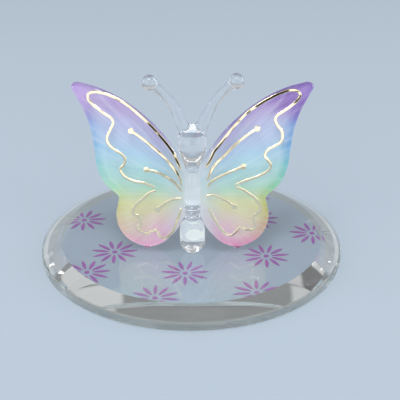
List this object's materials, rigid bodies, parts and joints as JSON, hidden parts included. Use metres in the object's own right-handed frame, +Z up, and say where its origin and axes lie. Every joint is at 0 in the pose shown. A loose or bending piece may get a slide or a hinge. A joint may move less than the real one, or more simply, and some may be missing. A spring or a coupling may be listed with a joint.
{
  "type": "butterfly ornament",
  "caption": "Free-standing lampworked glass butterfly with tinted, gilded wings, glued on a round bevelled glass base that shows a daisy print through its top.",
  "frame": {"origin": "centre of the underside, on the surface that the ornament stands on", "axes": "+Z up; the butterfly's front faces -Y, towards the viewer; +X is the viewer's right; wings spread along X"},
  "size_m": [0.1, 0.1, 0.0643],
  "materials": {
    "base_glass": "polished, clear",
    "clear_glass": "fire-polished, clear",
    "tinted_glass": "glossy, sprayed with rainbow tints on the back",
    "gilding": "mirror-bright fired gilding",
    "backing": "satin grey-blue film",
    "print": "purple print, satin",
    "adhesive": "thin double-sided adhesive",
    "glue": "cured clear glue"
  },
  "bodies": {
    "root": {"base_glass": "base_glass", "base_backing": "backing", "backing_adhesive": "adhesive", "daisy_print": "print", "abdomen": "clear_glass", "waist": "clear_glass", "thorax": "clear_glass", "head": "clear_glass", "left_antenna": "clear_glass", "right_antenna": "clear_glass", "left_wing": "tinted_glass", "right_wing": "tinted_glass", "left_wing_gilding": "gilding", "right_wing_gilding": "gilding", "abdomen_glue": "glue", "left_wing_glue": "glue", "right_wing_glue": "glue"}
  },
  "joints": []
}
